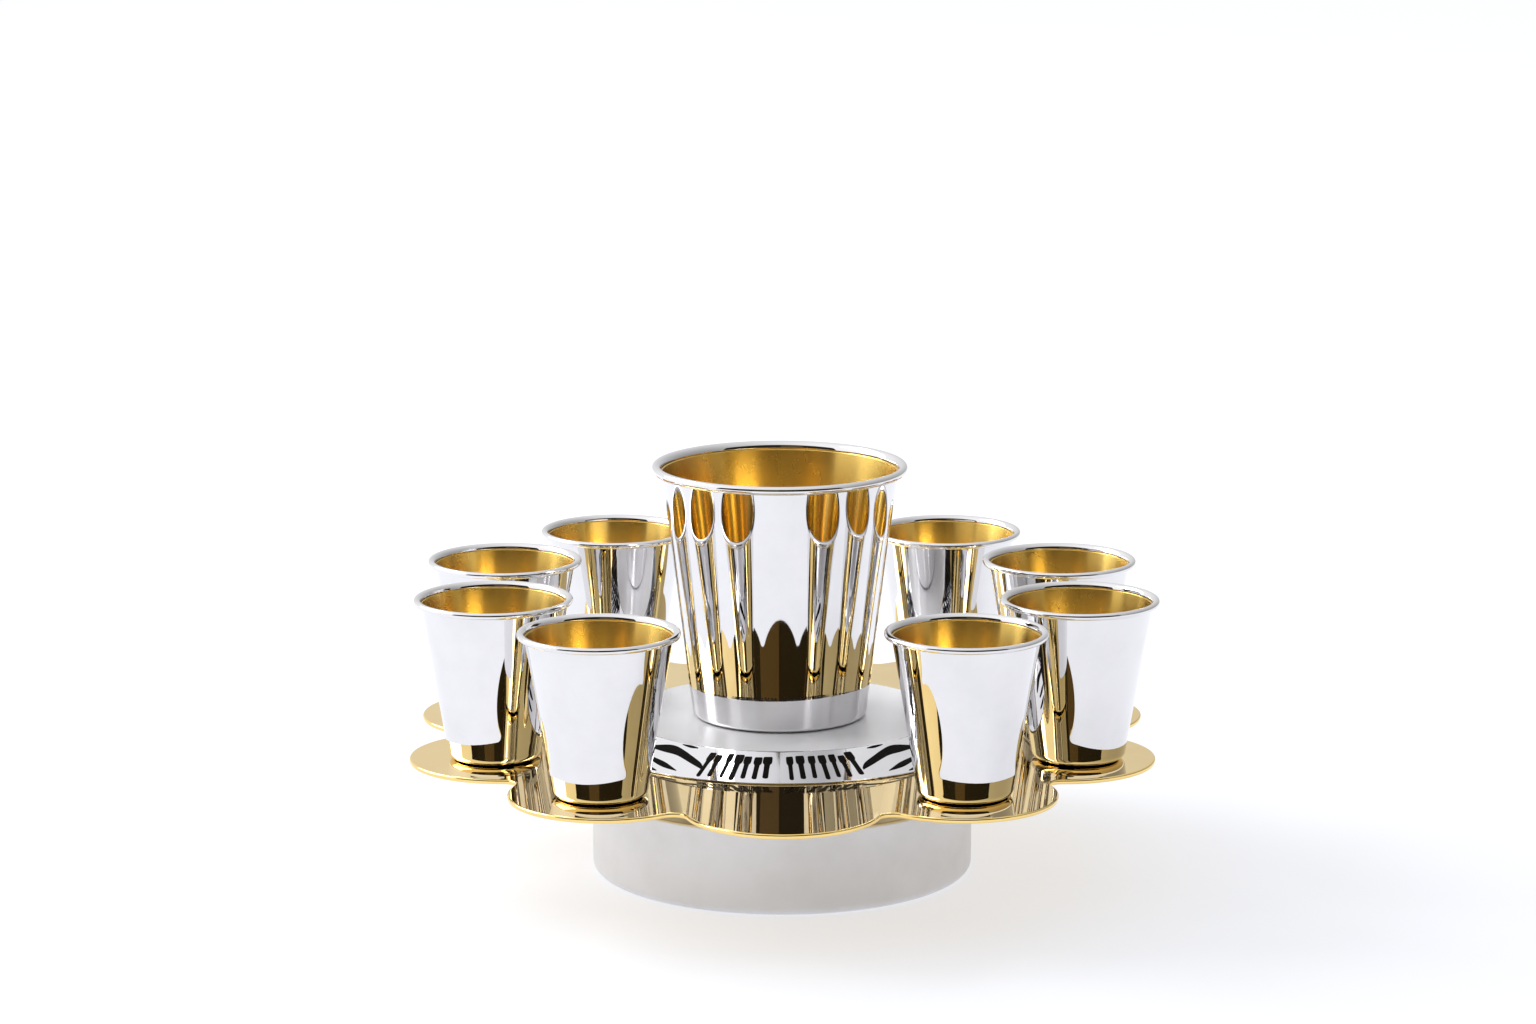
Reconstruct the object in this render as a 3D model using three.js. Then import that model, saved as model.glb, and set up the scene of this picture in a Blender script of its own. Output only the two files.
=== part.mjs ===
// A kiddush cup set: a lobed gold tray on a round silver base, a saucer with a sloping
// inscribed border, one tall wine cup in the middle and a ring of small beakers around it.
// Millimetres, +Z up, -Y towards the viewer, origin under the centre of the base.
import * as THREE from 'three';

// Heights above the table
const BASE_HEIGHT = 26.6;
const TRAY_TOP = 41.7;
const TRAY_THICKNESS = 1.5;
const REST_GAP = 0.1;

// Round silver base and the hub that carries the tray
const BASE_RADIUS = 58.8;
const BASE_FOOT_ROUND = 2.2;
const BASE_SHOULDER_ROUND = 0.8;
const HUB_RADIUS = 30;
const HUB_FLANGE_RADIUS = 38;
const HUB_FLANGE_HEIGHT = 2.4;

// Tray outline: round lobes joined by small hollow fillets
const LOBES = 10;
const LOBE_CENTRE = 88.6;
const LOBE_RADIUS = 29.2;
const NOTCH_FILLET = 4;
const TRAY_EDGE_BEVEL = 0.4;
const LOBE_ARC_STEPS = 13;
const FILLET_ARC_STEPS = 4;

// Saucer that carries the tall cup
const SAUCER_RADIUS = 62.3;
const SAUCER_EDGE = 0.35;
const SAUCER_SHOULDER_RADIUS = 47;
const SAUCER_HEIGHT = 6.4;
const SAUCER_SHOULDER_ROUND = 1.2;

// Cups of round section. The wall leans outwards evenly and ends in a rolled rim bead.
const TALL_CUP = {
  height: 78.6,
  footRadius: 27.7,
  wallTopRadius: 36.1,
  rimRadius: 39.3,
  beadRadius: 1.3,
  footRound: 1.8,
  flareHeight: 3,
  wall: 1.1,
  floor: 1.6,
  sides: 56,
  beadSteps: 6,
};
const BEAKER = {
  height: 49.6,
  footRadius: 14.4,
  wallTopRadius: 21.5,
  rimRadius: 24.3,
  beadRadius: 1.0,
  footRound: 2.6,
  flareHeight: 3.2,
  wall: 0.9,
  floor: 1.3,
  sides: 26,
  beadSteps: 3,
};

// Where the cups stand, lobes counted anticlockwise from the front one. The front and back
// lobes are empty, and some beakers stand a little nearer or further out than the others.
const RING_RADIUS = 91.5;
const TALL_CUP_SHIFT = -0.8;
const BEAKERS = [
  { name: 'beaker_front_right', lobe: 1, outward: -0.5 },
  { name: 'beaker_right_front', lobe: 2, outward: 2.8 },
  { name: 'beaker_right_back', lobe: 3, outward: 0 },
  { name: 'beaker_back_right', lobe: 4, outward: -0.8 },
  { name: 'beaker_back_left', lobe: 6, outward: 0 },
  { name: 'beaker_left_back', lobe: 7, outward: 0 },
  { name: 'beaker_left_front', lobe: 8, outward: 0.3 },
  { name: 'beaker_front_left', lobe: 9, outward: 0 },
];

const BASE_SIDES = 64;
const HUB_SIDES = 28;
const ROUND_STEPS = 2;

const mirrorSilver = () => new THREE.MeshStandardMaterial({ color: 0xe4e4e8, roughness: 0.05, metalness: 1 });
const satinSilver = () => new THREE.MeshStandardMaterial({ color: 0xc9c8ca, roughness: 0.35, metalness: 1 });
const mirrorGold = () => new THREE.MeshStandardMaterial({ color: 0xe3b65a, roughness: 0.06, metalness: 1 });
const darkSteel = () => new THREE.MeshStandardMaterial({ color: 0x77777a, roughness: 0.5, metalness: 1 });

// Points of an arc from one angle to another, both ends included, as (radius, height) pairs
function arcPoints(centreRadius, centreHeight, radius, fromDeg, toDeg, steps) {
  return Array.from({ length: steps + 1 }, (_, i) => {
    const angle = THREE.MathUtils.degToRad(fromDeg + ((toDeg - fromDeg) * i) / steps);
    return new THREE.Vector2(centreRadius + radius * Math.cos(angle), centreHeight + radius * Math.sin(angle));
  });
}

// Turns a (radius, height) profile about the +Z axis. The profile runs from the axis at the
// bottom, up the outside and back to the axis.
function turned(profile, sides) {
  const geometry = new THREE.LatheGeometry(profile, sides);
  geometry.rotateX(Math.PI / 2);
  return geometry;
}

function named(name, geometry, material) {
  const mesh = new THREE.Mesh(geometry, material);
  mesh.name = name;
  return mesh;
}

// A cup standing on z = 0: outside wall, rolled bead, inside wall and floor
function cupGeometry(cup) {
  const beadHeight = cup.height - cup.beadRadius;
  const beadCentre = cup.rimRadius - cup.beadRadius;
  const flareFoot = cup.height - cup.flareHeight;
  const lipRadius = beadCentre - cup.beadRadius;
  const innerFoot = cup.footRadius - cup.wall;
  const profile = [
    new THREE.Vector2(0, 0),
    ...arcPoints(cup.footRadius - cup.footRound, cup.footRound, cup.footRound, -90, -4, ROUND_STEPS),
    new THREE.Vector2(cup.wallTopRadius, flareFoot),
    ...arcPoints(beadCentre, beadHeight, cup.beadRadius, -120, 120, cup.beadSteps),
    new THREE.Vector2(lipRadius, beadHeight),
    new THREE.Vector2(cup.wallTopRadius - cup.wall, flareFoot),
    new THREE.Vector2(innerFoot, cup.floor + cup.footRound),
    new THREE.Vector2(innerFoot - cup.footRound, cup.floor),
    new THREE.Vector2(0, cup.floor),
  ];
  return turned(profile, cup.sides);
}

function baseMesh() {
  const profile = [
    new THREE.Vector2(0, 0),
    ...arcPoints(BASE_RADIUS - BASE_FOOT_ROUND, BASE_FOOT_ROUND, BASE_FOOT_ROUND, -90, 0, ROUND_STEPS),
    ...arcPoints(
      BASE_RADIUS - BASE_SHOULDER_ROUND, BASE_HEIGHT - BASE_SHOULDER_ROUND, BASE_SHOULDER_ROUND, 0, 90, ROUND_STEPS,
    ),
    new THREE.Vector2(0, BASE_HEIGHT),
  ];
  return named('round_base', turned(profile, BASE_SIDES), satinSilver());
}

// A collar with a wider flange at its foot, hidden under the tray
function hubMesh() {
  const top = TRAY_TOP - TRAY_THICKNESS - BASE_HEIGHT - 2 * REST_GAP;
  const profile = [
    new THREE.Vector2(0, 0),
    new THREE.Vector2(HUB_FLANGE_RADIUS, 0),
    new THREE.Vector2(HUB_FLANGE_RADIUS, HUB_FLANGE_HEIGHT),
    new THREE.Vector2(HUB_RADIUS, HUB_FLANGE_HEIGHT),
    new THREE.Vector2(HUB_RADIUS, top),
    new THREE.Vector2(0, top),
  ];
  const hub = named('tray_hub', turned(profile, HUB_SIDES), darkSteel());
  hub.position.z = BASE_HEIGHT + REST_GAP;
  return hub;
}

// The lobes and fillets are arcs that meet tangentially. Half a lobe's sweep follows from the
// triangle of the tray's centre, the lobe's centre and the fillet's centre.
function trayOutline() {
  const halfStep = Math.PI / LOBES;
  const reach = LOBE_RADIUS + NOTCH_FILLET;
  const halfGap = LOBE_CENTRE * Math.sin(halfStep);
  const filletCentre = LOBE_CENTRE * Math.cos(halfStep) + Math.sqrt(reach ** 2 - halfGap ** 2);
  const lobeHalfSweep = Math.PI - Math.acos(
    (LOBE_CENTRE ** 2 + reach ** 2 - filletCentre ** 2) / (2 * LOBE_CENTRE * reach),
  );
  const filletHalfSweep = lobeHalfSweep - halfStep;
  const outline = new THREE.Path();
  for (let lobe = 0; lobe < LOBES; lobe += 1) {
    const towards = 2 * halfStep * lobe - Math.PI / 2;
    const notch = towards + halfStep;
    outline.absarc(
      LOBE_CENTRE * Math.cos(towards), LOBE_CENTRE * Math.sin(towards), LOBE_RADIUS,
      towards - lobeHalfSweep, towards + lobeHalfSweep, false,
    );
    outline.absarc(
      filletCentre * Math.cos(notch), filletCentre * Math.sin(notch), NOTCH_FILLET,
      notch + Math.PI + filletHalfSweep, notch + Math.PI - filletHalfSweep, true,
    );
  }
  return outline;
}

// Each arc gets its own number of points, without the point that the next arc repeats
function outlinePoints(outline) {
  return outline.curves
    .filter((curve) => curve.isEllipseCurve)
    .flatMap((curve, i) => curve.getPoints(i % 2 === 0 ? LOBE_ARC_STEPS : FILLET_ARC_STEPS).slice(0, -1));
}

function trayMesh() {
  const geometry = new THREE.ExtrudeGeometry(new THREE.Shape(outlinePoints(trayOutline())), {
    depth: TRAY_THICKNESS - 2 * TRAY_EDGE_BEVEL,
    bevelEnabled: true,
    bevelThickness: TRAY_EDGE_BEVEL,
    bevelSize: TRAY_EDGE_BEVEL,
    bevelOffset: -TRAY_EDGE_BEVEL,
    bevelSegments: 1,
    curveSegments: 1,
  });
  const tray = named('lobed_tray', geometry, mirrorGold());
  tray.position.z = TRAY_TOP - TRAY_THICKNESS + TRAY_EDGE_BEVEL;
  return tray;
}

// A low sloping border rising to a flat round seat
function saucerMesh() {
  const slope = Math.atan2(SAUCER_HEIGHT - SAUCER_EDGE, SAUCER_RADIUS - SAUCER_SHOULDER_RADIUS);
  const borderNormalDeg = 90 - THREE.MathUtils.radToDeg(slope);
  const shoulderInset = SAUCER_SHOULDER_ROUND * Math.tan(slope / 2);
  const profile = [
    new THREE.Vector2(0, 0),
    new THREE.Vector2(SAUCER_RADIUS, 0),
    new THREE.Vector2(SAUCER_RADIUS, SAUCER_EDGE),
    ...arcPoints(
      SAUCER_SHOULDER_RADIUS - shoulderInset, SAUCER_HEIGHT - SAUCER_SHOULDER_ROUND, SAUCER_SHOULDER_ROUND,
      borderNormalDeg, 90, ROUND_STEPS,
    ),
    new THREE.Vector2(0, SAUCER_HEIGHT),
  ];
  const saucer = named('inscribed_saucer', turned(profile, BASE_SIDES), mirrorSilver());
  saucer.position.z = TRAY_TOP + REST_GAP;
  return saucer;
}

function tallCupMesh() {
  const cup = named('kiddush_cup', cupGeometry(TALL_CUP), mirrorSilver());
  cup.position.set(TALL_CUP_SHIFT, 0, TRAY_TOP + SAUCER_HEIGHT + 2 * REST_GAP);
  return cup;
}

function beakerMesh({ name, lobe, outward }) {
  const angle = (2 * Math.PI * lobe) / LOBES - Math.PI / 2;
  const beaker = named(name, cupGeometry(BEAKER), mirrorSilver());
  const distance = RING_RADIUS + outward;
  beaker.position.set(distance * Math.cos(angle), distance * Math.sin(angle), TRAY_TOP + REST_GAP);
  return beaker;
}

const kiddushSet = new THREE.Group();
kiddushSet.add(baseMesh(), hubMesh(), trayMesh(), saucerMesh(), tallCupMesh());
BEAKERS.forEach((place) => kiddushSet.add(beakerMesh(place)));

export default kiddushSet;
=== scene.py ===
"""A kiddush cup set in mirror silver and gold: tall cup, small beakers, saucer, lobed tray and round base.

Metres, +Z up, -Y towards the viewer. Every piece stands where the frame has its solid.
"""

import logging
import math
from dataclasses import dataclass, field
from enum import Enum
from typing import Any, Iterable, Optional, Sequence

import bmesh
import bpy
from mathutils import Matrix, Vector


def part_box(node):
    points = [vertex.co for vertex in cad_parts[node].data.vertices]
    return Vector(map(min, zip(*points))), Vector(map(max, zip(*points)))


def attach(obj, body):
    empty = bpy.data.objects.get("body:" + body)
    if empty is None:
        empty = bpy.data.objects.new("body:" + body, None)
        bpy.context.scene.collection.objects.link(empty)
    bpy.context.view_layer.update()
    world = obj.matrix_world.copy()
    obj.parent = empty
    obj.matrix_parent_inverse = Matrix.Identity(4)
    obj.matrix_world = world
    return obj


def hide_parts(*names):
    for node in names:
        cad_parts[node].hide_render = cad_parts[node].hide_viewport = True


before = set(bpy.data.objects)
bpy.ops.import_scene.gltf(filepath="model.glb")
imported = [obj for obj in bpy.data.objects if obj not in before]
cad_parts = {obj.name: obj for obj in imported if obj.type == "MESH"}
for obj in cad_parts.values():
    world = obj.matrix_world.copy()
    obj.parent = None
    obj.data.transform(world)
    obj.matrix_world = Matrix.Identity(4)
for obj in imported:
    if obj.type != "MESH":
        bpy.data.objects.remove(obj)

LOG = logging.getLogger("kiddush_set")
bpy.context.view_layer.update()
MM = 0.001
BODY = "root"
SEAM_GAP = 2e-6

Pair = tuple[float, float]
Point = tuple[float, float, float]


class Slot(Enum):
    """The record's material slots."""

    BASE = "satin_silver"
    HUB = "dark_steel"
    TRAY = "mirror_gold"
    SAUCER = "saucer_silver"
    CUP = "cup_silver"
    LINING = "cup_lining"
    ENAMEL = "black_enamel"


class Turn(Enum):
    """Which way a decorative stroke sweeps round the saucer's border."""

    LEFT = -1
    RIGHT = 1


class Socket:
    """A node's output, on which Python's operators add Math nodes."""

    def __init__(self, maker: "NodeMaker", output: bpy.types.NodeSocket) -> None:
        """Keep the output and the maker of its tree."""
        self.maker = maker
        self.output = output

    def _math(self, operation: str, *values: Any) -> "Socket":
        """Add one Math node.

        Args:
            operation: the Math node's operation.
            values: its inputs in order, sockets or numbers.

        Returns:
            The node's result.
        """
        inputs = dict(enumerate(values))
        return self.maker.add("ShaderNodeMath", {"operation": operation}, inputs).out()

    def __add__(self, other: Any) -> "Socket":
        """self + other."""
        return self._math("ADD", self, other)

    def __sub__(self, other: Any) -> "Socket":
        """self - other."""
        return self._math("SUBTRACT", self, other)

    def __rsub__(self, other: Any) -> "Socket":
        """other - self."""
        return self._math("SUBTRACT", other, self)

    def __mul__(self, other: Any) -> "Socket":
        """self * other."""
        return self._math("MULTIPLY", self, other)

    def __truediv__(self, other: Any) -> "Socket":
        """self / other."""
        return self._math("DIVIDE", self, other)

    def __mod__(self, other: Any) -> "Socket":
        """The remainder of self / other."""
        return self._math("MODULO", self, other)

    __radd__ = __add__
    __rmul__ = __mul__

    def floor(self) -> "Socket":
        """The whole number below."""
        return self._math("FLOOR", self)

    def sin(self) -> "Socket":
        """The sine, of radians."""
        return self._math("SINE", self)

    def cos(self) -> "Socket":
        """The cosine, of radians."""
        return self._math("COSINE", self)


class Made:
    """A node that NodeMaker has added."""

    def __init__(self, maker: "NodeMaker", node: bpy.types.Node) -> None:
        """Keep the node and its maker."""
        self.maker = maker
        self.node = node

    def out(self, name: Any = 0) -> Socket:
        """One output, by name or number."""
        return Socket(self.maker, self.node.outputs[name])


class NodeMaker:
    """Adds nodes to a shader tree or a geometry tree."""

    def __init__(self, tree: bpy.types.NodeTree) -> None:
        """Keep the tree."""
        self.tree = tree

    def add(
        self, kind: str, settings: Optional[dict[str, Any]] = None, values: Optional[dict[Any, Any]] = None
    ) -> Made:
        """Add a node, set it up and fill or link its sockets.

        Args:
            kind: the node's type.
            settings: its own settings, and under "stops" a colour ramp's positions and colours.
            values: socket name or number to a number, a colour, a data block or a Socket.

        Returns:
            The node.
        """
        node = self.tree.nodes.new(kind)
        for key, value in (settings or {}).items():
            if key == "stops":
                self._ramp(node, value)
            else:
                setattr(node, key, value)
        for key, value in (values or {}).items():
            if isinstance(value, Socket):
                self.tree.links.new(value.output, node.inputs[key])
            else:
                node.inputs[key].default_value = value
        return Made(self, node)

    @staticmethod
    def _ramp(node: bpy.types.Node, stops: Sequence[tuple[float, Sequence[float]]]) -> None:
        """Set a colour ramp's stops.

        Args:
            node: the ramp.
            stops: positions and colours, in order.
        """
        elements = node.color_ramp.elements
        while len(elements) < len(stops):
            elements.new(1.0)
        for element, (position, colour) in zip(elements, stops):
            element.position = position
            element.color = colour


def rgba(colour: Sequence[float]) -> tuple[float, float, float, float]:
    """A colour with full alpha."""
    return (colour[0], colour[1], colour[2], 1.0)


@dataclass(frozen=True)
class Metal:
    """A polished or satin metal with fine marks of use.

    Attributes:
        name: the material's name.
        colour: the metal's colour where it is clean.
        stain: its colour in the faint cloudy patches.
        roughness: the roughness where it is best polished.
        haze: how much rougher the wiped and handled places are.
        grain: the stretch of the fine polishing lines along X, Y and Z.
        grain_depth: how strongly the lines tilt the surface.
        grain_scale: how many lines there are to a metre, before the stretch.
        anisotropy: how far a highlight is drawn out in one direction.
        turned: that direction, as a share of a turn: 0 round the axis and 0.25 up the wall.
        metallic: how metallic it looks, less where a frosted surface scatters light.
        cloud_scale: how fine the cloudy patches are.
        smear_scale: how fine the wiped smears are.
    """

    name: str
    colour: Point
    stain: Point
    roughness: float
    haze: float
    grain: Point = (1.0, 1.0, 1.0)
    grain_depth: float = 0.02
    grain_scale: float = 900.0
    anisotropy: float = 0.0
    turned: float = 0.0
    metallic: float = 1.0
    cloud_scale: float = 42.0
    smear_scale: float = 130.0

    def make(self) -> bpy.types.Material:
        """Build the material.

        Returns:
            The material, one for each finish.
        """
        known = bpy.data.materials.get(self.name)
        if known is not None:
            return known
        material = bpy.data.materials.new(self.name)
        material.use_nodes = True
        material.node_tree.nodes.clear()
        maker = NodeMaker(material.node_tree)
        place = maker.add("ShaderNodeTexCoord").out("Object")
        clouds = maker.add(
            "ShaderNodeTexNoise",
            {},
            {"Vector": place, "Scale": self.cloud_scale, "Detail": 4.0, "Roughness": 0.6},
        ).out(0)
        smears = maker.add(
            "ShaderNodeTexNoise",
            {},
            {"Vector": place, "Scale": self.smear_scale, "Detail": 3.0, "Distortion": 0.8},
        ).out(0)
        lines_place = maker.add("ShaderNodeMapping", {}, {"Vector": place, "Scale": self.grain}).out()
        lines = maker.add(
            "ShaderNodeTexNoise", {}, {"Vector": lines_place, "Scale": self.grain_scale, "Detail": 2.0}
        ).out(0)
        worn = maker.add(
            "ShaderNodeValToRGB",
            {"stops": [(0.42, (0.0, 0.0, 0.0, 1.0)), (0.68, (1.0, 1.0, 1.0, 1.0))]},
            {"Fac": clouds},
        ).out()
        tint = maker.add(
            "ShaderNodeMix",
            {"data_type": "RGBA"},
            {"Factor": worn, 6: rgba(self.colour), 7: rgba(self.stain)},
        ).out(2)
        roughness = worn * self.haze + smears * (self.haze * 0.5) + self.roughness
        bump = maker.add(
            "ShaderNodeBump", {}, {"Strength": self.grain_depth, "Distance": 0.00002, "Height": lines}
        ).out()
        shader = maker.add(
            "ShaderNodeBsdfPrincipled",
            {},
            {
                "Base Color": tint,
                "Metallic": self.metallic,
                "Roughness": roughness,
                "Anisotropic": self.anisotropy,
                "Anisotropic Rotation": self.turned,
                "Normal": bump,
            },
        ).out()
        maker.add("ShaderNodeOutputMaterial", {}, {"Surface": shader})
        return material


@dataclass(frozen=True)
class Enamel:
    """Black filling that has settled a little unevenly in its strokes.

    Attributes:
        name: the material's name.
        colour: its colour where it is clean.
        dust: its colour where dust has settled.
        roughness: how dull it is at its smoothest.
        shine: how strongly it mirrors.
        grain_scale: how fine the unevenness is.
    """

    name: str = "black enamel"
    colour: Point = (0.004, 0.0036, 0.003)
    dust: Point = (0.012, 0.011, 0.009)
    roughness: float = 0.35
    shine: float = 0.02
    grain_scale: float = 700.0

    def make(self) -> bpy.types.Material:
        """Build the material.

        Returns:
            The material.
        """
        known = bpy.data.materials.get(self.name)
        if known is not None:
            return known
        material = bpy.data.materials.new(self.name)
        material.use_nodes = True
        material.node_tree.nodes.clear()
        maker = NodeMaker(material.node_tree)
        place = maker.add("ShaderNodeTexCoord").out("Object")
        grain = maker.add(
            "ShaderNodeTexNoise", {}, {"Vector": place, "Scale": self.grain_scale, "Detail": 3.0}
        ).out(0)
        tint = maker.add(
            "ShaderNodeMix",
            {"data_type": "RGBA"},
            {"Factor": grain, 6: rgba(self.colour), 7: rgba(self.dust)},
        ).out(2)
        bump = maker.add(
            "ShaderNodeBump", {}, {"Strength": 0.15, "Distance": 0.00003, "Height": grain}
        ).out()
        shader = maker.add(
            "ShaderNodeBsdfPrincipled",
            {},
            {
                "Base Color": tint,
                "Roughness": grain * 0.12 + self.roughness,
                "Specular IOR Level": self.shine,
                "Normal": bump,
            },
        ).out()
        maker.add("ShaderNodeOutputMaterial", {}, {"Surface": shader})
        return material


@dataclass(frozen=True)
class Plain:
    """An even matt finish for the studio, which may also glow a little, as a lit sweep does.

    Attributes:
        name: the material's name.
        colour: its colour.
        glow: the light that it gives off.
        roughness: how dull it is.
    """

    name: str
    colour: Point
    glow: Point = (0.0, 0.0, 0.0)
    roughness: float = 0.9

    def make(self) -> bpy.types.Material:
        """Build the material.

        Returns:
            The material.
        """
        material = bpy.data.materials.new(self.name)
        material.use_nodes = True
        shader = material.node_tree.nodes["Principled BSDF"]
        shader.inputs["Base Color"].default_value = rgba(self.colour)
        shader.inputs["Roughness"].default_value = self.roughness
        shader.inputs["Specular IOR Level"].default_value = 0.0
        shader.inputs["Emission Color"].default_value = rgba(self.glow)
        shader.inputs["Emission Strength"].default_value = 1.0
        return material


MIRROR_SILVER = Metal(
    "mirror silver", (0.82, 0.81, 0.825), (0.77, 0.765, 0.77), 0.012, 0.02, grain=(1.0, 1.0, 6.0)
)
SAUCER_SILVER = Metal("saucer silver", (0.85, 0.85, 0.87), (0.80, 0.80, 0.82), 0.014, 0.02)
SEAT_SILVER = Metal("seat silver", (0.93, 0.93, 0.95), (0.89, 0.89, 0.91), 0.30, 0.05, metallic=0.3)
MIRROR_GOLD = Metal("mirror gold", (0.94, 0.70, 0.28), (0.91, 0.65, 0.24), 0.012, 0.02)
SATIN_GOLD = Metal(
    "satin gold lining", (0.86, 0.61, 0.17), (0.80, 0.55, 0.13), 0.22, 0.06,
    grain=(6.0, 6.0, 0.3), grain_depth=0.1, grain_scale=260.0, anisotropy=0.85, turned=0.25,
)
SATIN_SILVER = Metal(
    "satin silver base", (0.75, 0.75, 0.77), (0.70, 0.70, 0.71), 0.30, 0.05,
    grain=(0.3, 0.3, 8.0), grain_depth=0.12, grain_scale=900.0, anisotropy=0.4, metallic=0.6,
)
HUB_STEEL = Metal("hub steel", (0.32, 0.32, 0.33), (0.25, 0.25, 0.25), 0.4, 0.1)
BLACK_ENAMEL = Enamel()


class GeometryTree(NodeMaker):
    """A Geometry Nodes tree with named inputs."""

    def __init__(self, name: str, inputs: dict[str, str]) -> None:
        """Make the tree and its group sockets.

        Args:
            name: the tree's name.
            inputs: input name to socket type, after the geometry.
        """
        tree = bpy.data.node_groups.new(name, "GeometryNodeTree")
        tree.interface.new_socket("Geometry", in_out="INPUT", socket_type="NodeSocketGeometry")
        for label, kind in inputs.items():
            tree.interface.new_socket(label, in_out="INPUT", socket_type=kind)
        tree.interface.new_socket("Geometry", in_out="OUTPUT", socket_type="NodeSocketGeometry")
        super().__init__(tree)
        self.source = self.add("NodeGroupInput")

    def given(self, name: str) -> Socket:
        """One of the group's inputs."""
        return self.source.out(name)

    def finish(self, geometry: Socket) -> bpy.types.NodeTree:
        """Realize the instances, set the material and close the tree.

        Args:
            geometry: what the tree has made.

        Returns:
            The tree.
        """
        real = self.add("GeometryNodeRealizeInstances", {}, {"Geometry": geometry}).out()
        dressed = self.add(
            "GeometryNodeSetMaterial", {}, {"Geometry": real, "Material": self.given("Material")}
        ).out()
        self.add("NodeGroupOutput", {}, {"Geometry": dressed})
        return self.tree


def turning_tree() -> bpy.types.NodeTree:
    """A tree that turns a profile, points in X and Z, about a vertical axis.

    Returns:
        The tree, made once.
    """
    known = bpy.data.node_groups.get("turned piece")
    if known is not None:
        return known
    tree = GeometryTree(
        "turned piece",
        {
            "Rings": "NodeSocketInt",
            "Sides": "NodeSocketInt",
            "Axis": "NodeSocketVector",
            "Material": "NodeSocketMaterial",
        },
    )
    rings, sides = tree.given("Rings"), tree.given("Sides")
    counts = {"Vertices X": sides + 1, "Vertices Y": rings}
    grid = tree.add("GeometryNodeMeshGrid", {}, counts).out("Mesh")
    index = tree.add("GeometryNodeInputIndex").out()
    ring = index % rings
    step = ((index + 0.5) / rings).floor()
    position = tree.add("GeometryNodeInputPosition").out()
    profile = tree.add(
        "GeometryNodeSampleIndex",
        {"data_type": "FLOAT_VECTOR"},
        {"Geometry": tree.given("Geometry"), "Value": position, "Index": ring},
    ).out()
    parts = tree.add("ShaderNodeSeparateXYZ", {}, {0: profile})
    angle = step / sides * math.tau
    radius = parts.out("X")
    round_place = tree.add(
        "ShaderNodeCombineXYZ",
        {},
        {"X": radius * angle.cos(), "Y": radius * angle.sin(), "Z": parts.out("Z")},
    ).out()
    place = tree.add(
        "ShaderNodeVectorMath", {"operation": "ADD"}, {0: round_place, 1: tree.given("Axis")}
    ).out()
    turned = tree.add("GeometryNodeSetPosition", {}, {"Geometry": grid, "Position": place}).out()
    closed = tree.add("GeometryNodeMergeByDistance", {}, {"Geometry": turned, "Distance": SEAM_GAP}).out()
    smooth = tree.add("GeometryNodeSetShadeSmooth", {}, {"Geometry": closed}).out()
    return tree.finish(smooth)


def stroke_tree() -> bpy.types.NodeTree:
    """A tree that lays a row of upright strokes on a saucer's sloping border.

    Returns:
        The tree, made once.
    """
    known = bpy.data.node_groups.get("row of strokes")
    if known is not None:
        return known
    tree = GeometryTree(
        "row of strokes",
        {
            "Count": "NodeSocketInt",
            "Middle": "NodeSocketFloat",
            "Span": "NodeSocketFloat",
            "Radius": "NodeSocketFloat",
            "Foot Radius": "NodeSocketFloat",
            "Foot Height": "NodeSocketFloat",
            "Slope": "NodeSocketFloat",
            "Seed": "NodeSocketInt",
            "Material": "NodeSocketMaterial",
        },
    )
    points = tree.add("GeometryNodePoints", {}, {"Count": tree.given("Count")}).out()
    index = tree.add("GeometryNodeInputIndex").out()

    def varied(low: float, high: float, offset: int) -> Socket:
        """A random number for each stroke."""
        return tree.add(
            "FunctionNodeRandomValue",
            {"data_type": "FLOAT"},
            {2: low, 3: high, "Seed": tree.given("Seed") + offset},
        ).out(1)

    share = (index + 0.5) / tree.given("Count") - 0.5 + varied(-0.012, 0.012, 1)
    angle = tree.given("Middle") + tree.given("Span") * share
    length = varied(0.82, 1.0, 2)
    radius = tree.given("Radius") + varied(-0.0005, 0.0006, 3)
    rise = (tree.given("Foot Radius") - radius) * tree.given("Slope")
    place = tree.add(
        "ShaderNodeCombineXYZ",
        {},
        {
            "X": radius * angle.sin(),
            "Y": radius * angle.cos() * -1.0,
            "Z": tree.given("Foot Height") + rise,
        },
    ).out()
    tilt = tree.add("ShaderNodeMath", {"operation": "ARCTANGENT"}, {0: tree.given("Slope")}).out()
    turn = tree.add("ShaderNodeCombineXYZ", {}, {"X": tilt, "Z": angle + varied(-0.05, 0.05, 4)}).out()
    width = varied(0.6, 1.0, 5)
    scale = tree.add("ShaderNodeCombineXYZ", {}, {"X": width, "Y": length, "Z": 1.0}).out()
    strokes = tree.add(
        "GeometryNodeInstanceOnPoints",
        {},
        {
            "Points": tree.add("GeometryNodeSetPosition", {}, {"Geometry": points, "Position": place}).out(),
            "Instance": tree.given("Geometry"),
            "Rotation": turn,
            "Scale": scale,
        },
    ).out()
    return tree.finish(strokes)


def new_object(name: str, mesh: bpy.types.Mesh) -> bpy.types.Object:
    """Link a mesh to the scene as an object at the origin.

    Args:
        name: the object's name.
        mesh: its mesh.

    Returns:
        The object.
    """
    made = bpy.data.objects.new(name, mesh)
    bpy.context.scene.collection.objects.link(made)
    return made


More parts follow.
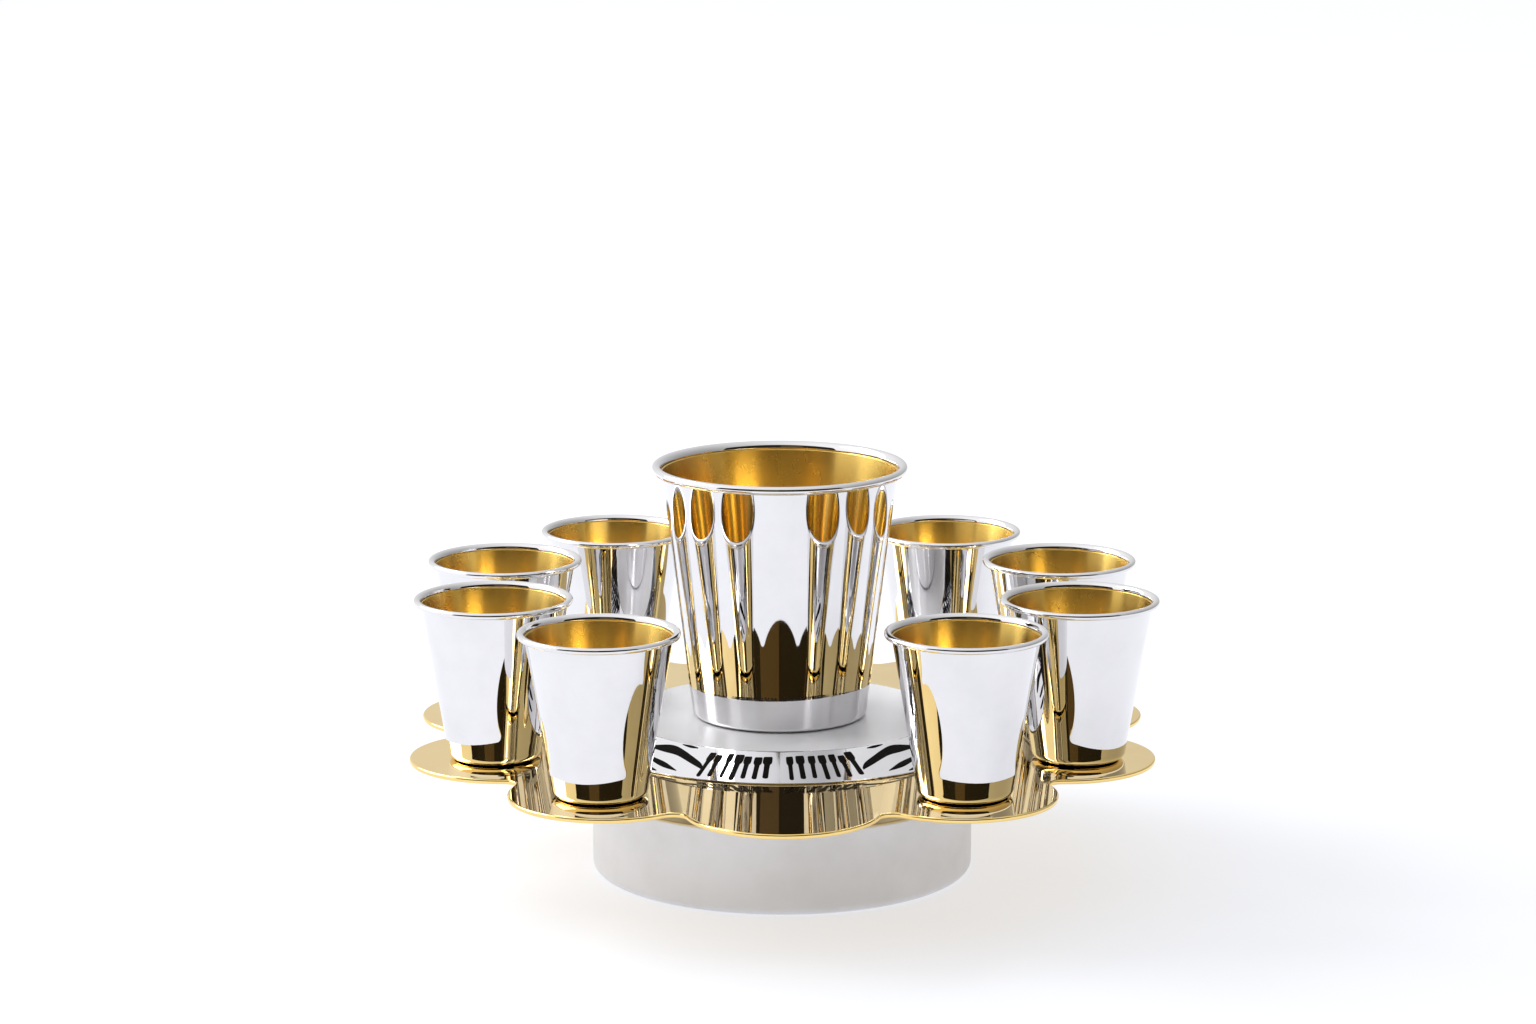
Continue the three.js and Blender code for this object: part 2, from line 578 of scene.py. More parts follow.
def grown(
    name: str, mesh: bpy.types.Mesh, tree: bpy.types.NodeTree, inputs: dict[str, Any]
) -> bpy.types.Object:
    """Run a geometry tree on a mesh and keep the result as a plain mesh.

    Args:
        name: the new object's name.
        mesh: what the tree starts from.
        tree: the geometry tree.
        inputs: its inputs by name.

    Returns:
        The object, with faces pointing out and no modifier.
    """
    carrier = new_object(name + "_carrier", mesh)
    modifier = carrier.modifiers.new("grow", "NODES")
    modifier.node_group = tree
    for item in tree.interface.items_tree:
        if item.in_out == "INPUT" and item.name in inputs:
            modifier[item.identifier] = inputs[item.name]
    carrier.update_tag()
    graph = bpy.context.evaluated_depsgraph_get()
    result = bpy.data.meshes.new_from_object(carrier.evaluated_get(graph))
    bpy.data.objects.remove(carrier)
    result.name = name
    result.materials.clear()
    result.materials.append(inputs["Material"])
    for face in result.polygons:
        face.material_index = 0
    face_out(result)
    return new_object(name, result)


def face_out(mesh: bpy.types.Mesh) -> None:
    """Turn a closed mesh's faces to point outwards.

    Args:
        mesh: the mesh, changed in place.
    """
    work = bmesh.new()
    work.from_mesh(mesh)
    if work.calc_volume(signed=True) < 0:
        bmesh.ops.reverse_faces(work, faces=work.faces)
    work.to_mesh(mesh)
    work.free()


def keep(piece: bpy.types.Object, slot: Slot, *nodes: str) -> bpy.types.Object:
    """Ride a piece on the set's body, hide the solids that it replaces and log its finish.

    Args:
        piece: the finished piece.
        slot: the record's slot.
        nodes: the solids that it replaces.

    Returns:
        The piece.
    """
    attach(piece, BODY)
    if nodes:
        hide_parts(*nodes)
    LOG.info("%s: %d faces, finish %s", piece.name, len(piece.data.polygons), slot.value)
    return piece


class Profile:
    """A half section, drawn as radius and height from the axis round to the axis again."""

    def __init__(
        self, radius: float, height: float, guard: float = 0.15 * MM, stride: float = 5 * MM
    ) -> None:
        """Start the section.

        Args:
            radius: the first point's radius.
            height: the first point's height.
            guard: how near its ends a straight run has a point, which keeps its shading straight.
            stride: the longest step along a straight run.
        """
        self.points: list[Pair] = [(radius, height)]
        self.guard = guard
        self.stride = stride

    def line(self, radius: float, height: float) -> "Profile":
        """Draw a straight run to a point.

        Args:
            radius: the point's radius.
            height: its height.

        Returns:
            The profile.
        """
        start = Vector(self.points[-1])
        end = Vector((radius, height))
        length = (end - start).length
        if length > 3 * self.guard:
            steps = max(1, math.ceil(length / self.stride))
            marks = [self.guard] + [length * i / steps for i in range(1, steps)] + [length - self.guard]
            self.points += [tuple(start.lerp(end, mark / length)) for mark in marks]
        self.points.append((radius, height))
        return self

    def arc(
        self, centre: Pair, radius: float, start: float, end: float, steps: int = 8
    ) -> "Profile":
        """Draw a straight run to an arc, and the arc.

        Args:
            centre: the arc's centre.
            radius: its radius.
            start: its first angle in degrees, from the outward direction.
            end: its last angle.
            steps: its number of steps.

        Returns:
            The profile.
        """
        for i in range(steps + 1):
            angle = math.radians(start + (end - start) * i / steps)
            point = (centre[0] + radius * math.cos(angle), centre[1] + radius * math.sin(angle))
            if i == 0:
                self.line(*point)
            else:
                self.points.append(point)
        return self

    def mesh(self, name: str) -> bpy.types.Mesh:
        """The section's points as a mesh in X and Z.

        Args:
            name: what the piece is called.

        Returns:
            The mesh, of points alone.
        """
        mesh = bpy.data.meshes.new(name + "_profile")
        mesh.from_pydata([(r, 0.0, z) for r, z in self.points], [], [])
        return mesh

    def turned(self, name: str, axis: Point, sides: int, finish: Metal) -> bpy.types.Object:
        """Turn the section into a closed piece.

        Args:
            name: the piece's name.
            axis: the foot of the axis that it is turned about.
            sides: steps round the axis.
            finish: its material.

        Returns:
            The piece.
        """
        inputs = {"Rings": len(self.points), "Sides": sides, "Axis": axis, "Material": finish.make()}
        return grown(name, self.mesh(name), turning_tree(), inputs)


@dataclass
class Cup:
    """A straight-sided cup on a round foot, with a rolled rim bead and a gilded inside.

    Attributes:
        node: the cup's solid in the frame.
        foot_radius: radius at the foot's edge.
        foot_round: radius of the rounded edge under the wall.
        wall_top_radius: radius at the wall's top, under the bead.
        neck_height: height from the wall's top to the rim's top.
        bead_radius: radius of the rim bead's section.
        wall: thickness of the wall at the foot.
        floor: thickness of the floor.
        flare: how far the wall's top curves out from its straight lower part.
        flare_share: the share of the wall's height that stays straight.
        lip_wall: thickness of the wall at its top.
        sides: steps round the axis.
    """

    node: str
    foot_radius: float
    foot_round: float
    wall_top_radius: float
    neck_height: float
    bead_radius: float
    wall: float
    floor: float
    flare: float = 0.0
    flare_share: float = 0.65
    lip_wall: float = 0.4 * MM
    sides: int = 128
    low: Vector = field(init=False)
    high: Vector = field(init=False)

    def __post_init__(self) -> None:
        """Read the solid's place."""
        self.low, self.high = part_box(self.node)

    @property
    def axis(self) -> Point:
        """The middle of the foot."""
        return ((self.low.x + self.high.x) / 2, (self.low.y + self.high.y) / 2, self.low.z)

    @property
    def height(self) -> float:
        """The whole height."""
        return self.high.z - self.low.z

    @property
    def rim_radius(self) -> float:
        """The bead's outer radius."""
        return (self.high.y - self.low.y) / 2

    @property
    def wall_top(self) -> float:
        """Height of the wall's top."""
        return self.height - self.neck_height

    def wall_radius(self, height: float, depth: float) -> float:
        """The wall's radius.

        Args:
            height: height above the foot.
            depth: 0 at the outside of the wall and 1 at the inside.

        Returns:
            The radius.
        """
        share = max(0.0, (height - self.foot_round) / (self.wall_top - self.foot_round))
        curved = max(0.0, (share - self.flare_share) / (1 - self.flare_share))
        straight = self.foot_radius + (self.wall_top_radius - self.flare - self.foot_radius) * share
        thickness = self.wall + (self.lip_wall - self.wall) * share
        return straight + self.flare * curved**2 - thickness * depth

    def wall_points(self, low: float, high: float, depth: float, steps: int = 18) -> list[Pair]:
        """Points along the wall, with one close to each end that keeps the shading straight.

        Args:
            low: the first point's height.
            high: the last point's height.
            depth: 0 at the outside of the wall and 1 at the inside.
            steps: its number of steps.

        Returns:
            The points.
        """
        near = 0.004
        shares = [0.0, near] + [i / steps for i in range(1, steps)] + [1.0 - near, 1.0]
        heights = [low + (high - low) * share for share in shares]
        return [(self.wall_radius(height, depth), height) for height in heights]

    def shell(self) -> Profile:
        """The silver outside, the bead and half the wall's thickness.

        Returns:
            The half section.
        """
        bead = (self.rim_radius - self.bead_radius, self.height - self.bead_radius)
        round_centre = (self.foot_radius - self.foot_round, self.foot_round)
        outer_foot = self.foot_round + 0.4 * MM
        inner_foot = self.floor / 2 + self.foot_round
        outline = Profile(0.0, 0.0)
        outline.arc(round_centre, self.foot_round, -90.0, -7.0)
        outline.points += self.wall_points(outer_foot, self.wall_top, 0.0)
        outline.arc(bead, self.bead_radius, -125.0, 90.0, 18)
        outline.points += self._lip(bead)
        outline.points += self.wall_points(self.wall_top, inner_foot, 0.5)
        outline.line(self.wall_radius(inner_foot, 0.5) - self.foot_round, self.floor / 2)
        outline.line(0.0, self.floor / 2)
        return outline

    def _lip(self, bead: Pair, steps: int = 6) -> list[Pair]:
        """The rim's inner side, rolled from the bead's top down to the wall's inside.

        Args:
            bead: the bead's centre.
            steps: its number of steps.

        Returns:
            Points from the top down.
        """
        clearance = 0.05 * MM
        width = bead[0] - self.wall_radius(self.wall_top, 1.0) - clearance
        depth = self.height - self.wall_top
        angles = [math.pi / 2 * i / steps for i in range(1, steps + 1)]
        return [(bead[0] - width * math.sin(a), self.height - depth * (1 - math.cos(a))) for a in angles]

    def lining(self) -> Profile:
        """The gilded inside, as a thin skin on the silver.

        Returns:
            The half section.
        """
        gap = 0.03 * MM
        top = self.wall_top + 0.1 * MM
        foot = self.floor + self.foot_round
        inner = self.wall_radius(foot, 1.0)
        outer = self.wall_radius(foot, 0.6)
        outline = Profile(0.0, self.floor / 2 + gap)
        outline.line(outer - self.foot_round, self.floor / 2 + gap)
        outline.points += self.wall_points(foot, self.wall_top, 0.6)
        outline.points += self.wall_points(top, foot, 1.0)
        outline.arc((inner - self.foot_round, foot), self.foot_round, 0.0, -90.0, 6)
        outline.line(0.0, self.floor)
        return outline

    def build(self) -> None:
        """Make the shell and the lining."""
        shell = self.shell().turned(self.node + "_shell", self.axis, self.sides, MIRROR_SILVER)
        keep(shell, Slot.CUP, self.node)
        lining = self.lining().turned(self.node + "_lining", self.axis, self.sides, SATIN_GOLD)
        keep(lining, Slot.LINING, self.node)


@dataclass
class RoundBase:
    """The satin base on the table.

    Attributes:
        node: the base's solid in the frame.
        foot_round: radius of the rounded edge at the table.
        shoulder_round: radius of the upper edge.
        step_reach: how far inside the rounded edge the underside's fine step lies.
        step_width: the step's width.
        step_height: the step's height.
        sides: steps round the axis.
    """

    node: str = "round_base"
    foot_round: float = 2.6 * MM
    shoulder_round: float = 0.9 * MM
    step_reach: float = 1.2 * MM
    step_width: float = 0.2 * MM
    step_height: float = 0.2 * MM
    sides: int = 192

    def build(self) -> None:
        """Turn the base with its rounded foot and its fine shoulder."""
        low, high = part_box(self.node)
        radius, height = (high.x - low.x) / 2, high.z - low.z
        outline = Profile(0.0, 0.0)
        step = radius - self.foot_round - self.step_reach
        outline.line(step, 0.0)
        outline.line(step + self.step_width, self.step_height)
        outline.arc((radius - self.foot_round, self.foot_round), self.foot_round, -82.0, 0.0, 10)
        shoulder = (radius - self.shoulder_round, height - self.shoulder_round)
        outline.arc(shoulder, self.shoulder_round, 0.0, 90.0, 8)
        outline.line(0.0, height)
        piece = outline.turned("satin_base", (0.0, 0.0, low.z), self.sides, SATIN_SILVER)
        keep(piece, Slot.BASE, self.node)


@dataclass
class Hub:
    """The collar under the tray, which keeps its solid's own shape."""

    node: str = "tray_hub"

    def build(self) -> None:
        """Give the solid its steel."""
        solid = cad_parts[self.node]
        solid.data.materials.clear()
        solid.data.materials.append(HUB_STEEL.make())
        LOG.info("%s: solid kept, finish %s", self.node, Slot.HUB.value)


@dataclass
class LobedTray:
    """The mirror tray, whose outline is round lobes with small hollow fillets between them.

    Attributes:
        node: the tray's solid in the frame.
        lobes: how many lobes there are.
        lobe_radius: a lobe's radius.
        fillet: radius of the hollow between two lobes.
        edge: radius of the rounded edge, above and below.
        margin: width of the flat strip inside the edge, which keeps its shading flat.
        lobe_steps: steps round a lobe.
        fillet_steps: steps round a hollow.
        edge_steps: steps round each rounded edge.
    """

    node: str = "lobed_tray"
    lobes: int = 10
    lobe_radius: float = 29.2 * MM
    fillet: float = 4.0 * MM
    edge: float = 0.55 * MM
    margin: float = 2.2 * MM
    lobe_steps: int = 36
    fillet_steps: int = 10
    edge_steps: int = 6

    def __post_init__(self) -> None:
        """Work out where the arcs meet from the lobes' reach."""
        self.low, self.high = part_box(self.node)
        self.lobe_centre = self.high.y - self.lobe_radius
        self.half_step = math.pi / self.lobes
        reach = self.lobe_radius + self.fillet
        half_gap = self.lobe_centre * math.sin(self.half_step)
        beyond = math.sqrt(reach**2 - half_gap**2)
        self.fillet_centre = self.lobe_centre * math.cos(self.half_step) + beyond
        squares = self.lobe_centre**2 + reach**2 - self.fillet_centre**2
        self.lobe_sweep = math.pi - math.acos(squares / (2 * self.lobe_centre * reach))

    def outline(self, inset: float) -> list[Pair]:
        """The tray's edge, moved in by a distance.

        Args:
            inset: how far inside the true edge.

        Returns:
            Points anticlockwise, the same number for every inset.
        """
        points: list[Pair] = []
        fillet_sweep = self.lobe_sweep - self.half_step
        for lobe in range(self.lobes):
            towards = 2 * self.half_step * lobe - math.pi / 2
            notch = towards + self.half_step
            for i in range(self.lobe_steps):
                angle = towards + self.lobe_sweep * (2 * i / self.lobe_steps - 1)
                points.append(self._on(self.lobe_centre, towards, self.lobe_radius - inset, angle))
            for i in range(self.fillet_steps):
                angle = notch + math.pi + fillet_sweep * (1 - 2 * i / self.fillet_steps)
                points.append(self._on(self.fillet_centre, notch, self.fillet + inset, angle))
        return points

    @staticmethod
    def _on(distance: float, towards: float, radius: float, angle: float) -> Pair:
        """A point on a circle whose centre lies in a direction from the axis."""
        return (
            distance * math.cos(towards) + radius * math.cos(angle),
            distance * math.sin(towards) + radius * math.sin(angle),
        )

    def build(self) -> None:
        """Build the plate with a softly rounded edge."""
        half = (self.high.z - self.low.z) / 2
        middle = (self.high.z + self.low.z) / 2
        edge = self.edge
        guard = edge + 0.1 * MM
        section = [(self.margin, -half), (guard, -half)]
        for side in (-1, 1):
            arc = [side * math.pi / 2 * (1 - i / self.edge_steps) for i in range(self.edge_steps + 1)]
            if side == 1:
                arc.reverse()
            bend = side * (half - edge)
            section += [(edge * (1 - math.cos(a)), bend + edge * math.sin(a)) for a in arc]
        section += [(guard, half), (self.margin, half)]
        work = bmesh.new()
        rings = []
        for inset, height in section:
            rings.append([work.verts.new((x, y, middle + height)) for x, y in self.outline(inset)])
        count = len(rings[0])
        for lower, upper in zip(rings, rings[1:]):
            for i in range(count):
                j = (i + 1) % count
                work.faces.new((lower[i], lower[j], upper[j], upper[i]))
        work.faces.new(list(reversed(rings[0])))
        work.faces.new(rings[-1])
        for face in work.faces:
            face.smooth = True
        mesh = bpy.data.meshes.new("gold_tray")
        work.to_mesh(mesh)
        work.free()
        mesh.materials.append(MIRROR_GOLD.make())
        face_out(mesh)
        keep(new_object("gold_tray", mesh), Slot.TRAY, self.node)


@dataclass
class Sweep:
    """One long stroke on the saucer's border.

    Attributes:
        path: azimuth in degrees from the front, share of the way up the slope, and half width as
            such a share, at points along the stroke.
    """

    path: Sequence[Point]


@dataclass
class Saucer:
    """The silver saucer under the tall cup, with black strokes on its sloping border.

    Attributes:
        node: the saucer's solid in the frame.
        shoulder_radius: where the slope meets the flat seat.
        edge: height of the saucer's thin outer edge.
        shoulder_round: radius of the rounded shoulder.
        stroke_length: length of a full upright stroke.
        stroke_width: width of a full upright stroke.
        proud: how far the filling stands above the silver.
        depth: how far it reaches into it.
        chamfer: the small slant at the underside's edge.
        sides: steps round the axis.
    """

    node: str = "inscribed_saucer"
    shoulder_radius: float = 48.3 * MM
    edge: float = 0.35 * MM
    shoulder_round: float = 0.7 * MM
    stroke_length: float = 12.6 * MM
    stroke_width: float = 2.9 * MM
    proud: float = 0.06 * MM
    depth: float = 0.25 * MM
    chamfer: float = 0.1 * MM
    sides: int = 192

    def __post_init__(self) -> None:
        """Read the solid's place and work out the slope."""
        self.low, self.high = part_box(self.node)
        self.radius = (self.high.x - self.low.x) / 2
        self.height = self.high.z - self.low.z
        self.slope = (self.height - self.edge) / (self.radius - self.shoulder_radius)

    def plate(self) -> None:
        """Turn the saucer."""
        tilt = math.atan(self.slope)
        inset = self.shoulder_round * math.tan(tilt / 2)
        outline = Profile(0.0, 0.0)
        outline.line(self.radius - self.chamfer, 0.0)
        outline.line(self.radius, self.chamfer)
        outline.line(self.radius, self.edge)
        centre = (self.shoulder_radius - inset, self.height - self.shoulder_round)
        outline.arc(centre, self.shoulder_round, 90 - math.degrees(tilt), 90.0, 6)
        outline.line(0.0, self.height)
        axis = (0.0, 0.0, self.low.z)
        piece = outline.turned("silver_saucer", axis, self.sides, SAUCER_SILVER)
        self.dull_seat(piece.data)
        keep(piece, Slot.SAUCER, self.node)

    def dull_seat(self, mesh: bpy.types.Mesh) -> None:
        """Give the flat seat under the cup its satin finish.

        Args:
            mesh: the saucer's mesh, changed in place.
        """
        mesh.materials.append(SEAT_SILVER.make())
        top = self.low.z + self.height - 0.05 * MM
        reach = self.shoulder_radius - 0.3 * MM
        for face in mesh.polygons:
            if face.center.z > top and face.center.xy.length < reach:
                face.material_index = 1
        LOG.info("seat: %d faces", sum(face.material_index == 1 for face in mesh.polygons))

    def on_slope(self, azimuth: float, share: float, lift: float) -> Point:
        """A point on the border.

        Args:
            azimuth: degrees from the front towards +X.
            share: 0 at the outer edge and 1 at the shoulder.
            lift: height above the silver.

        Returns:
            The point.
        """
        radius = self.radius + (self.shoulder_radius - self.radius) * share
        angle = math.radians(azimuth)
        height = self.low.z + self.edge + (self.radius - radius) * self.slope + lift
        return (radius * math.sin(angle), -radius * math.cos(angle), height)

    def upright_stroke(self) -> bpy.types.Mesh:
        """One upright stroke: a flat bar with a broader head, like a nail.

        Returns:
            The mesh, lying in X and Y with its head towards +Y.
        """
        half, length = self.stroke_width / 2, self.stroke_length / 2
        leg = [(0.0, -1.0), (0.46, -0.97), (0.62, -0.9), (0.58, -0.2), (0.62, 0.28)]
        head = [(0.95, 0.42), (1.0, 0.6), (0.96, 0.9), (0.8, 1.0)]
        right = leg + head
        left = [(-x, y * 0.98) for x, y in reversed(right[1:])]
        outline = [(x * half, y * length, 0.0) for x, y in right + left]
        return slab("upright_stroke", outline, self.proud, self.depth)

    def row(self, name: str, middle: float, span: float, count: int, seed: int) -> None:
        """Lay one row of upright strokes.

        Args:
            name: the piece's name.
            middle: the row's middle azimuth in degrees.
            span: its sweep in degrees.
            count: its number of strokes.
            seed: what varies them.
        """
        inputs = {
            "Count": count,
            "Middle": math.radians(middle),
            "Span": math.radians(span),
            "Radius": (self.radius + self.shoulder_radius) / 2 + 0.1 * MM,
            "Foot Radius": self.radius,
            "Foot Height": self.low.z + self.edge,
            "Slope": self.slope,
            "Seed": seed,
            "Material": BLACK_ENAMEL.make(),
        }
        keep(grown(name, self.upright_stroke(), stroke_tree(), inputs), Slot.ENAMEL, self.node)

    def sweeps(
        self, name: str, strokes: Iterable[Sweep], middle: float, turn: Turn, steps: int = 18
    ) -> None:
        """Lay a group of long strokes that follow the border.

        Args:
            name: the piece's name.
            strokes: the strokes, for the right of the front.
            middle: how far the whole group is turned, in degrees.
            turn: which side of its middle the group is on.
            steps: points along each stroke.
        """
        work = bmesh.new()
        for stroke in strokes:
            left, right = [], []
            for i in range(steps + 1):
                azimuth, share, half = smooth_along(stroke.path, i / steps)
                angle = middle + turn.value * azimuth
                right.append((angle, min(share + half, 0.985)))
                left.append((angle, max(share - half, 0.015)))
            outline = right + list(reversed(left))
            top = [work.verts.new(self.on_slope(a, s, self.proud)) for a, s in outline]
            bottom = [work.verts.new(self.on_slope(a, s, -self.depth)) for a, s in outline]
            count = len(outline)
            for i in range(count):
                j = (i + 1) % count
                work.faces.new((bottom[i], bottom[j], top[j], top[i]))
            for i in range(steps):
                j = count - 1 - i
                work.faces.new((top[i], top[i + 1], top[j - 1], top[j]))
                work.faces.new((bottom[j], bottom[j - 1], bottom[i + 1], bottom[i]))
        bmesh.ops.remove_doubles(work, verts=work.verts, dist=1e-6)
        bmesh.ops.recalc_face_normals(work, faces=work.faces)
        mesh = bpy.data.meshes.new(name)
        work.to_mesh(mesh)
        work.free()
        mesh.materials.append(BLACK_ENAMEL.make())
        keep(new_object(name, mesh), Slot.ENAMEL, self.node)

    def build(self) -> None:
        """Make the saucer and its strokes, front, back and both sides."""
        self.plate()
        rise = [(24.5, 0.32, 0.03), (27.0, 0.45, 0.08), (35.5, 0.7, 0.1)]
        crest = [(42.0, 0.76, 0.12), (49.0, 0.7, 0.04)]
        wave = Sweep(rise + crest)
        flick = Sweep([(31.0, 0.93, 0.01), (34.0, 0.94, 0.035), (38.0, 0.96, 0.01)])
        under = Sweep([(32.0, 0.16, 0.01), (38.0, 0.28, 0.07), (46.0, 0.42, 0.03)])
        foot = Sweep([(38.0, 0.06, 0.01), (43.0, 0.12, 0.06), (50.0, 0.2, 0.03)])
        strokes = [wave, flick, under, foot]
        for label, middle, seed in (("front", 0.0, 11), ("back", 180.0, 37)):
            self.row(f"upright_strokes_{label}_left", middle - 14.6, 23.0, 7, seed)
            self.row(f"upright_strokes_{label}_right", middle + 12.8, 24.0, 7, seed + 6)
            for turn in Turn:
                self.sweeps(f"long_strokes_{label}_{turn.name.lower()}", strokes, middle, turn)
        for label, middle, seed in (("right", 90.0, 53), ("left", -90.0, 71)):
            self.row(f"upright_strokes_{label}", middle, 46.0, 13, seed)


def slab(name: str, outline: Sequence[Point], proud: float, depth: float) -> bpy.types.Mesh:
    """A thin flat piece with a given outline.

    Args:
        name: the mesh's name.
        outline: its edge, in order, at height 0.
        proud: the top's height.
        depth: how far the underside lies below 0.

    Returns:
        The closed mesh.
    """
    work = bmesh.new()
    top = [work.verts.new((x, y, z + proud)) for x, y, z in outline]
    bottom = [work.verts.new((x, y, z - depth)) for x, y, z in outline]
    work.faces.new(top)
    work.faces.new(list(reversed(bottom)))
    for i in range(len(outline)):
        j = (i + 1) % len(outline)
        work.faces.new((bottom[i], bottom[j], top[j], top[i]))
    bmesh.ops.recalc_face_normals(work, faces=work.faces)
    mesh = bpy.data.meshes.new(name)
    work.to_mesh(mesh)
    work.free()
    return mesh


def smooth_along(path: Sequence[Point], share: float) -> Point:
    """A point on a smooth curve through some points.

    Args:
        path: the points.
        share: 0 at the first and 1 at the last.

    Returns:
        The point, by the Catmull-Rom rule.
    """
    place = share * (len(path) - 1)
    i = min(int(place), len(path) - 2)
    t = place - i
    before, start = path[max(i - 1, 0)], path[i]
    end, after = path[i + 1], path[min(i + 2, len(path) - 1)]

    def blend(a: float, b: float, c: float, d: float) -> float:
        """One coordinate of the curve.

        Args:
            a: the coordinate at the point before the stretch.
            b: at its start.
            c: at its end.
            d: at the point after it.

        Returns:
            The coordinate at the share t of the stretch.
        """
        square = (2 * a - 5 * b + 4 * c - d) * t**2
        cube = (3 * b - a - 3 * c + d) * t**3
        return 0.5 * (2 * b + (c - a) * t + square + cube)

    return tuple(blend(*values) for values in zip(before, start, end, after))


@dataclass(frozen=True)
class Panel:
    """An upright dark panel behind the camera, which only the polished metal shows.

    Attributes:
        name: its name.
        left: X of its left edge.
        right: X of its right edge.
        behind: how far in front of the set it stands, behind the camera.
        colour: its colour.
        foot: height of its lower edge.
        top: height of its upper edge.
    """

    name: str
    left: float
    right: float
    behind: float
    colour: Point
    foot: float = 0.03
    top: float = 2.1

    def corners(self) -> list[Point]:
        """Its corners, from the lower left one round.

        Returns:
            The four corners.
        """
        lower = [(self.left, -self.behind, self.foot), (self.right, -self.behind, self.foot)]
        upper = [(self.right, -self.behind, self.top), (self.left, -self.behind, self.top)]
        return lower + upper


DARK_PANEL = Panel("dark_panel", -3.0, 3.0, 1.9, (0.02, 0.017, 0.013))
BROWN_PANEL = Panel("brown_panel", -0.85, -0.03, 1.88, (0.075, 0.055, 0.033))


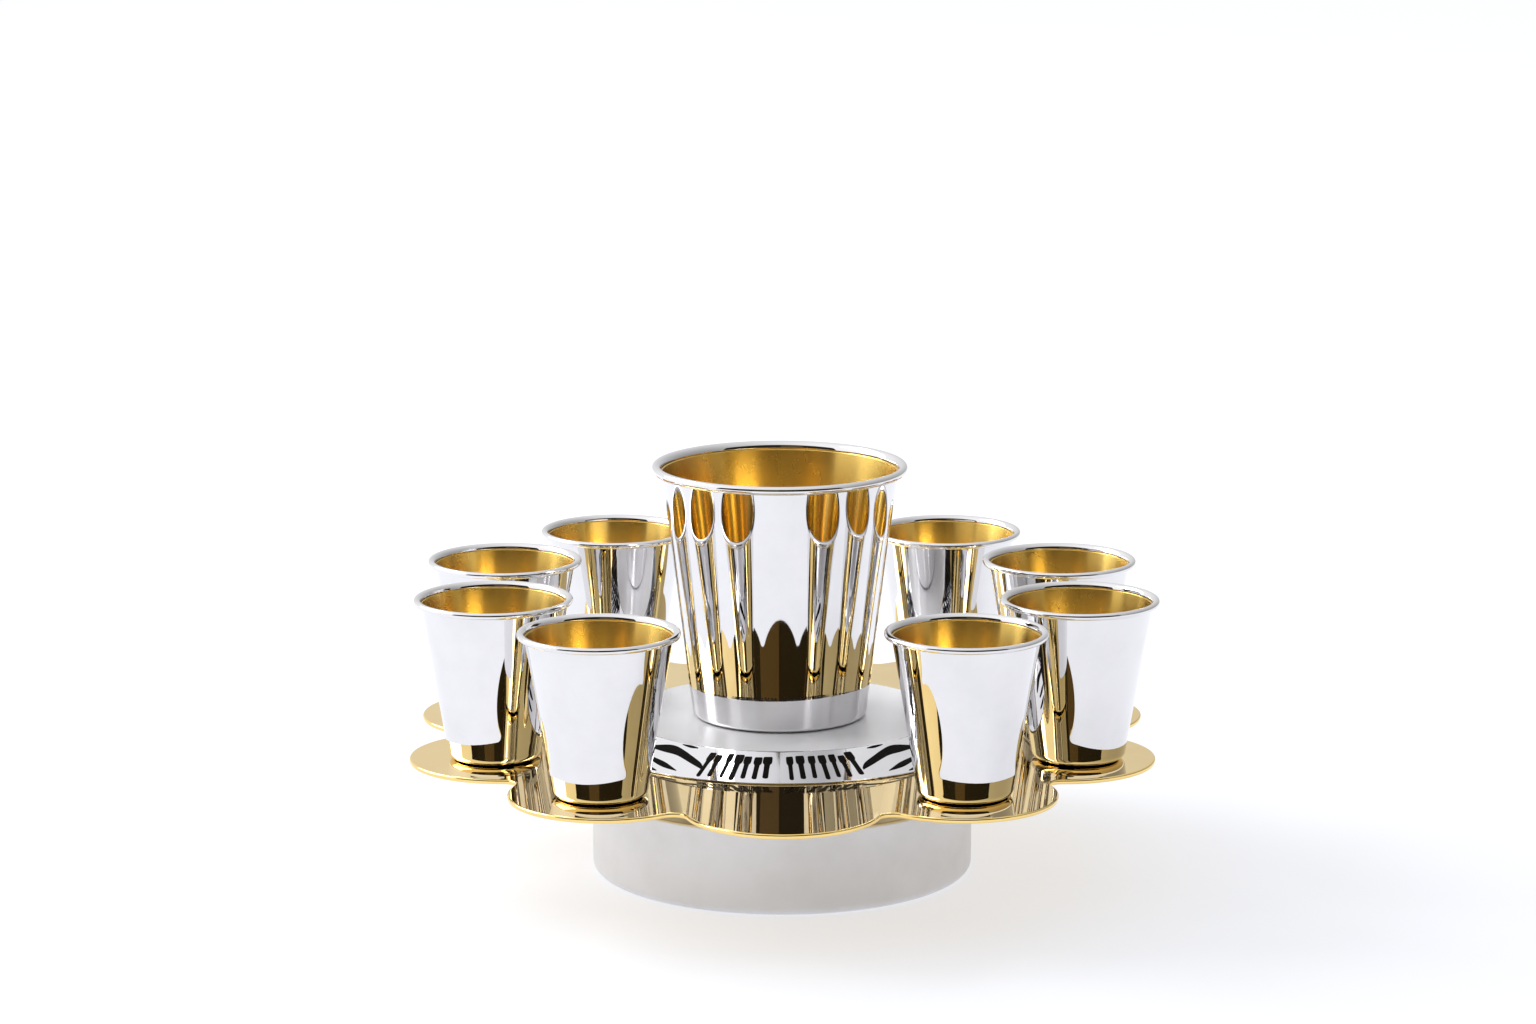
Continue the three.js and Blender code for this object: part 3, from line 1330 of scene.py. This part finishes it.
@dataclass
class Studio:
    """White floor and surroundings, one soft light on the left, dark panels and the camera.

    Attributes:
        distance: from the camera to the middle of the tray.
        elevation: the camera's height above the tray's plane, in radians.
        dip: how far below the horizontal it looks, in radians.
        side: how far it stands to the right of the middle.
        lens: focal length for a 36 mm wide picture.
        sky: how bright the room is at the horizon.
        overhead: how much brighter it is straight above.
        leftward: how much brighter it is to the left, and dimmer to the right.
        floor_reach: how far the floor goes on from the middle.
        key_place: where the soft light hangs.
        key_size: its side.
        key_power: its power in watts.
    """

    distance: float = 1.4
    elevation: float = 0.2477
    dip: float = 0.1987
    side: float = -4.4 * MM
    lens: float = 105.75
    sky: float = 0.72
    overhead: float = 0.25
    leftward: float = 0.42
    floor_reach: float = 9.0
    key_place: Point = (-2.0, 0.7, 1.5)
    key_size: float = 1.8
    key_power: float = 58.0

    def camera(self) -> None:
        """Set the camera."""
        tray_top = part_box("lobed_tray")[1].z
        data = bpy.data.cameras.new("camera")
        data.lens = self.lens
        data.sensor_width = 36.0
        data.clip_end = 100.0
        eye = bpy.data.objects.new("camera", data)
        eye.location = (
            self.side,
            -self.distance * math.cos(self.elevation),
            tray_top + self.distance * math.sin(self.elevation),
        )
        eye.rotation_euler = (math.pi / 2 - self.dip, 0.0, 0.0)
        bpy.context.scene.collection.objects.link(eye)
        bpy.context.scene.camera = eye

    def floor(self) -> None:
        """Lay the floor."""
        finish = Plain("white floor", (0.37, 0.38, 0.40), glow=(0.63, 0.635, 0.66))
        reach = self.floor_reach
        corners = [(-reach, -reach, 0.0), (reach, -reach, 0.0), (reach, reach, 0.0), (-reach, reach, 0.0)]
        self._sheet("floor", corners, finish)

    def dark_panels(self) -> None:
        """Stand the dark and brown panels behind the camera, which the polished metal mirrors."""
        for panel in (DARK_PANEL, BROWN_PANEL):
            self._sheet(panel.name, panel.corners(), Plain(panel.name, panel.colour))

    @staticmethod
    def _sheet(name: str, corners: Sequence[Point], finish: Plain) -> None:
        """Make one flat sheet of the studio.

        Args:
            name: its name.
            corners: its corners in order.
            finish: its material.
        """
        mesh = bpy.data.meshes.new(name)
        mesh.from_pydata(corners, [], [(0, 1, 2, 3)])
        mesh.materials.append(finish.make())
        new_object(name, mesh)

    def key_light(self) -> None:
        """Hang the soft square light, facing the set."""
        data = bpy.data.lights.new("key", "AREA")
        data.energy = self.key_power
        data.size = self.key_size
        lamp = bpy.data.objects.new("key", data)
        lamp.location = self.key_place
        towards = Vector((0.0, 0.0, 0.06)) - Vector(self.key_place)
        lamp.rotation_euler = towards.to_track_quat("-Z", "Y").to_euler()
        bpy.context.scene.collection.objects.link(lamp)

    def surroundings(self) -> None:
        """Light the room softly: brighter overhead and to the left, dimmer to the right."""
        world = bpy.data.worlds.new("white room")
        world.use_nodes = True
        world.node_tree.nodes.clear()
        maker = NodeMaker(world.node_tree)
        direction = maker.add("ShaderNodeTexCoord").out("Generated")
        parts = maker.add("ShaderNodeSeparateXYZ", {}, {0: direction})
        light = parts.out("Z") * self.overhead - parts.out("X") * self.leftward + self.sky
        background = maker.add(
            "ShaderNodeBackground", {}, {"Color": (0.995, 0.995, 1.0, 1.0), "Strength": light}
        ).out()
        maker.add("ShaderNodeOutputWorld", {}, {"Surface": background})
        bpy.context.scene.world = world
        bpy.context.scene.view_settings.view_transform = "Standard"

    def build(self) -> None:
        """Set up the studio."""
        self.camera()
        self.floor()
        self.dark_panels()
        self.key_light()
        self.surroundings()


def tall_cup() -> Cup:
    """The cup in the middle.

    Returns:
        Its sizes.
    """
    return Cup(
        node="kiddush_cup", foot_radius=27.0 * MM, foot_round=1.8 * MM, wall_top_radius=36.5 * MM,
        neck_height=2.5 * MM, bead_radius=1.3 * MM, wall=1.1 * MM, floor=1.6 * MM, flare=0.5 * MM,
        flare_share=0.6, sides=192,
    )


def beaker(node: str) -> Cup:
    """One of the small cups.

    Args:
        node: its solid in the frame.

    Returns:
        Its sizes.
    """
    return Cup(
        node=node, foot_radius=14.4 * MM, foot_round=2.6 * MM, wall_top_radius=21.9 * MM,
        neck_height=2.0 * MM, bead_radius=1.0 * MM, wall=0.9 * MM, floor=1.3 * MM, flare=0.2 * MM,
    )


def main() -> None:
    """Build the set from the table up, then the studio."""
    logging.basicConfig(level=logging.INFO, format="%(message)s")
    for part in (RoundBase(), Hub(), LobedTray(), Saucer(), tall_cup()):
        part.build()
    for node in sorted(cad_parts):
        if node.startswith("beaker_"):
            beaker(node).build()
    Studio().build()


if __name__ == "__main__":
    main()
